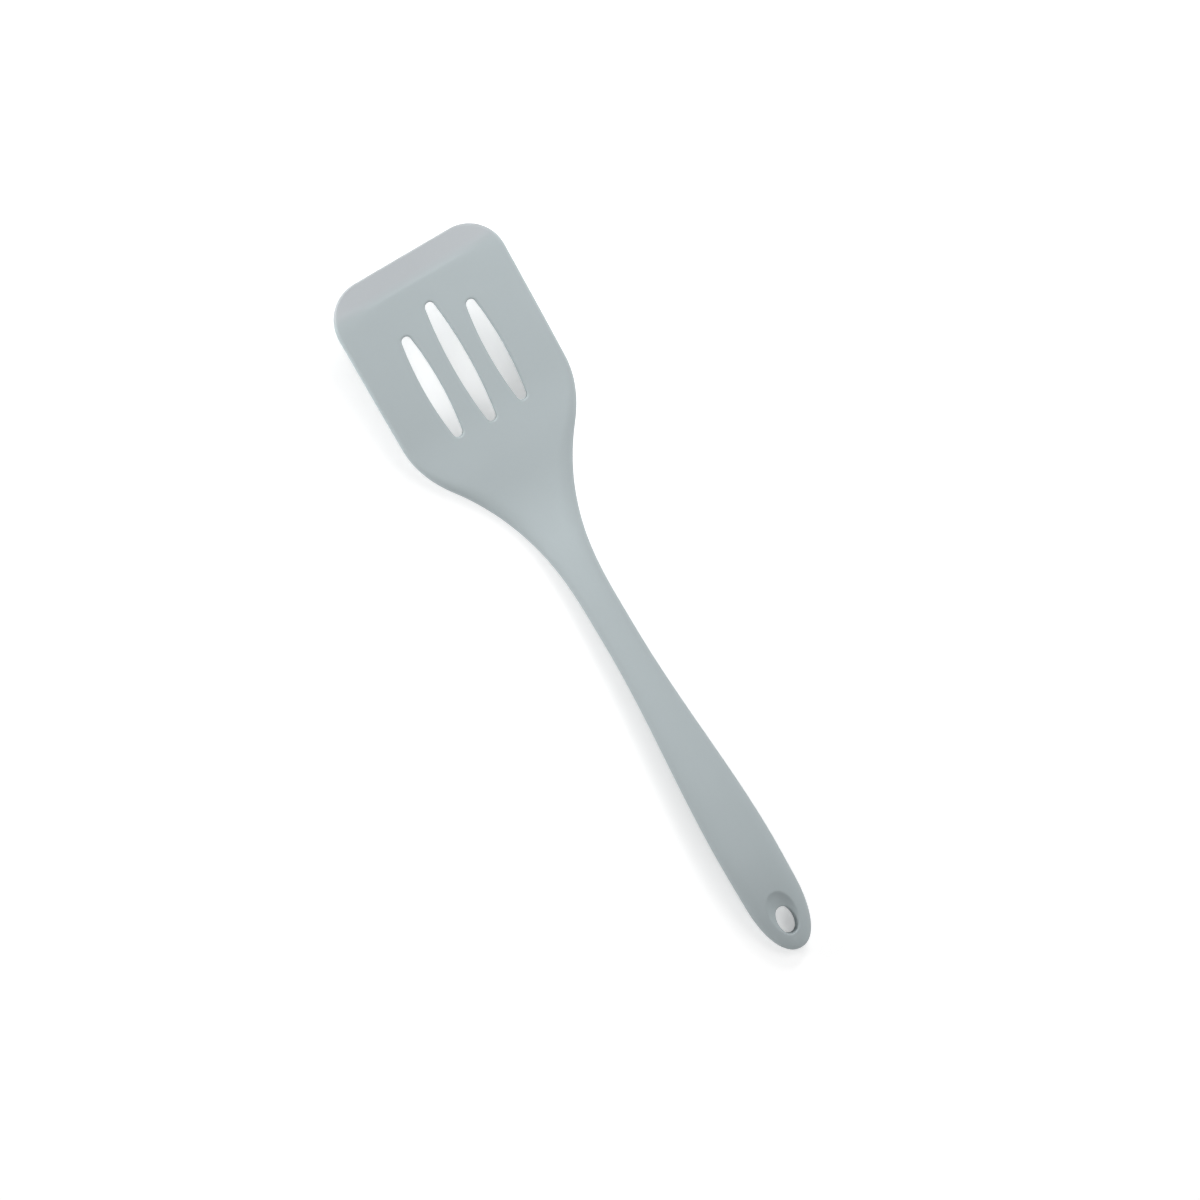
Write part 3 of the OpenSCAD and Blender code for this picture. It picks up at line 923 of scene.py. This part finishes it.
def scaled(tone, factor):
    """A colour with its alpha: each channel times a number, kept under 1."""
    return (*(min(1.0, channel * factor) for channel in tone), 1.0)


def silicone_material(tone, lip_painted_light, lip_end, run):
    """Matte moulded silicone: a fine blasted grain, faint clouds in colour and gloss.

    The thin lip's tone is painted light, a stand-in for light coming through the thin
    silicone; it turns into the blade's over the length run round its end.
    """
    s = Shader("silicone")
    at = s.place()
    x = s.node("ShaderNodeSeparateXYZ", {"Vector": at})
    behind = ((x - lip_end) / run + 0.5).clamped()
    clouds = s.noise(at, scale=28.0, detail=3.0)
    specks = s.noise(at, scale=900.0, roughness=0.6)
    grain = s.noise(at, scale=2600.0, detail=3.0, roughness=0.65)
    cloudy = (clouds * 0.7 + specks * 0.3).clamped()
    # The lip's copy of the silicone is painted light, for light coming through the thin lip
    blade, lip = (s.varied(cloudy, each, low=0.96, high=1.04) for each in (tone, lip_painted_light))
    return s.principled(
        {
            "Base Color": s.mixed(behind, lip, blade),
            "Roughness": 0.52 + clouds * 0.08 + specks * 0.06,
            "IOR": 1.41,
            "Specular IOR Level": 0.4,
            "Sheen Weight": 0.06,
            "Sheen Roughness": 0.5,
            "Normal": s.bump(grain * 0.6 + specks * 0.4, distance=0.03 * MM, strength=0.5),
        }
    )


def steel_material(tone):
    """Rolled stainless sheet: long fine lines along the blade and a light smear."""
    s = Shader("rolled_stainless")
    at = s.place()
    drawn = s.stretched(at, factor=0.03)
    lines = s.noise(drawn, scale=4200.0, detail=3.0, roughness=0.7)
    smear = s.noise(at, scale=60.0)
    return s.principled(
        {
            "Base Color": s.varied(lines, tone, low=0.93, high=1.07),
            "Metallic": 1.0,
            "Roughness": 0.26 + lines * 0.14 + smear * 0.08,
            "Normal": s.bump(lines, distance=0.01 * MM, strength=0.4),
        }
    )


def nylon_material(tone):
    """Natural glass-filled nylon: short pale fibres under a slightly rough skin."""
    s = Shader("glass_filled_nylon")
    at = s.place()
    drawn = s.stretched(at, factor=0.25)
    fibres = s.noise(drawn, scale=2400.0, detail=4.0, roughness=0.75)
    clouds = s.noise(at, scale=45.0)
    cloudy = (fibres * 0.6 + clouds * 0.4).clamped()
    return s.principled(
        {
            "Base Color": s.varied(cloudy, tone, low=0.9, high=1.08),
            "Roughness": 0.5 + fibres * 0.2,
            "Normal": s.bump(fibres, distance=0.02 * MM, strength=0.5),
        }
    )


def floor_material(tone, strength):
    """Plain matte pale floor that shows a little brighter to the camera than it lights."""
    s = Shader("floor")
    seen, mirrored, through = (
        s.node("ShaderNodeLightPath", out=ray)
        for ray in ("Is Camera Ray", "Is Glossy Ray", "Is Transmission Ray")
    )
    shown = (seen + mirrored + through).clamped()
    diffuse = s.node("ShaderNodeBsdfDiffuse", {"Color": (*tone, 1.0)})
    glow = s.node("ShaderNodeEmission", {"Color": WHITE, "Strength": shown * strength})
    return s.finish(s.node("ShaderNodeAddShader", {0: diffuse, 1: glow}))


def lamp(name, spot, size, watts):
    """A round soft lamp that faces the middle of the table."""
    light = bpy.data.lights.new(name, "AREA")
    light.shape = "DISK"
    light.size = size
    light.energy = watts
    made = bpy.data.objects.new(name, light)
    made.location = spot
    made.rotation_euler = (-Vector(spot)).to_track_quat("-Z", "Y").to_euler()
    bpy.context.scene.collection.objects.link(made)


def dress(node, material):
    """Gives a CAD node that stays its own material."""
    thing = frame["nodes"][node]
    thing.data.materials.clear()
    thing.data.materials.append(material)


# ---------------------------------------------------------------- operators

FLOOR_HALF = 3.0
FLOOR_CORNERS = np.array([[-1, -1, 0], [1, -1, 0], [1, 1, 0], [-1, 1, 0]])
CLIP_END = 20.0


class TURNER_OT_jacket(bpy.types.Operator):
    """Builds the silicone jacket with its slots, hang hole, dish and inner cavity"""

    bl_idname = "turner.jacket"
    bl_label = "Silicone Jacket"

    def execute(self, context):
        scene = context.scene
        shape = TurnerShape(scene.turner_blade, scene.turner_handle)
        points, faces, tips = jacket_surface(shape)
        # The smooth skin may reach some microns past the CAD's facets and so past its box
        points[:, 2] = np.clip(points[:, 2], CAD_BOX[0][2], CAD_BOX[1][2])
        inner_points, inner_faces = cavity_of(JACKET)
        jacket = mesh_object(
            "turner_jacket",
            np.vstack([points, inner_points]),
            [faces, tips, inner_faces + len(points)],
        )
        tones = scene.turner_finish
        # The lip's tone is painted light through the thin silicone, blended into the blade's
        # behind the lip
        jacket.data.materials.append(
            silicone_material(tones.silicone, tones.lip, shape.lip, run=2 * shape.b.step_l)
        )
        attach(jacket, BODY)
        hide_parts(JACKET)
        return {"FINISHED"}


class TURNER_OT_plate(bpy.types.Operator):
    """Finishes the stamped blade plate as rolled stainless sheet"""

    bl_idname = "turner.plate"
    bl_label = "Blade Plate"

    def execute(self, context):
        dress(PLATE, steel_material(context.scene.turner_finish.steel))
        return {"FINISHED"}


class TURNER_OT_core(bpy.types.Operator):
    """Finishes the moulded handle core as glass-filled nylon"""

    bl_idname = "turner.core"
    bl_label = "Handle Core"

    def execute(self, context):
        dress(CORE, nylon_material(context.scene.turner_finish.nylon))
        return {"FINISHED"}


class TURNER_OT_stage(bpy.types.Operator):
    """Lays the floor, hangs the lamps and sets the camera over the table"""

    bl_idname = "turner.stage"
    bl_label = "Stage"

    def execute(self, context):
        scene = context.scene
        s = scene.turner_stage
        floor = mesh_object("floor", FLOOR_HALF * FLOOR_CORNERS, [np.array([[0, 1, 2, 3]])])
        floor.data.materials.append(floor_material(scene.turner_finish.floor, s.glow))

        # The camera looks straight down beside the centre, and the shift frames the centre
        lens = bpy.data.cameras.new("camera")
        lens.sensor_fit = "HORIZONTAL"
        lens.lens = lens.sensor_width * s.camera_height / s.frame_width
        lens.clip_end = CLIP_END
        away = -Vector(s.offset)
        away.rotate(Euler((0.0, 0.0, -s.frame_turn)))
        lens.shift_x, lens.shift_y = away.x / s.frame_width, away.y / s.frame_width
        camera = bpy.data.objects.new("camera", lens)
        above = Vector((0.0, 0.0, s.camera_height))
        camera.location = Vector(s.centre) + Vector(s.offset) + above
        camera.rotation_euler = (0.0, 0.0, s.frame_turn)
        scene.collection.objects.link(camera)
        scene.camera = camera

        for name in LAMPS:
            values = [getattr(s, name + part) for part in ("_place", "_size", "_power")]
            lamp(name, *values)

        world = bpy.data.worlds.new("studio")
        world.use_nodes = True
        background = world.node_tree.nodes["Background"].inputs
        background["Color"].default_value = WHITE
        background["Strength"].default_value = s.sky
        scene.world = world
        scene.view_settings.view_transform = "Standard"
        return {"FINISHED"}


class TURNER_PT_panel(bpy.types.Panel):
    """Lists the turner's pieces and its sizes"""

    bl_idname = "TURNER_PT_panel"
    bl_label = "Slotted Turner"
    bl_space_type = "VIEW_3D"
    bl_region_type = "UI"
    bl_category = "Turner"

    def draw(self, context):
        for operator in OPERATORS:
            self.layout.operator(operator.bl_idname)
        for name, group in GROUPS.items():
            box = self.layout.box()
            box.label(text=group.__doc__)
            for size in group.__annotations__:
                box.prop(getattr(context.scene, name), size)


OPERATORS = (TURNER_OT_jacket, TURNER_OT_plate, TURNER_OT_core, TURNER_OT_stage)
CLASSES = (*GROUPS.values(), *OPERATORS, TURNER_PT_panel)


def register():
    """Registers the classes and hangs the sizes on the scene."""
    for cls in CLASSES:
        bpy.utils.register_class(cls)
    for name, group in GROUPS.items():
        setattr(bpy.types.Scene, name, PointerProperty(type=group))


def unregister():
    """Takes back what register did."""
    for name in GROUPS:
        delattr(bpy.types.Scene, name)
    for cls in reversed(CLASSES):
        bpy.utils.unregister_class(cls)


def main():
    """Builds every piece and the stage."""
    register()
    bpy.ops.turner.jacket()
    bpy.ops.turner.plate()
    bpy.ops.turner.core()
    bpy.ops.turner.stage()


if __name__ == "__main__":
    main()
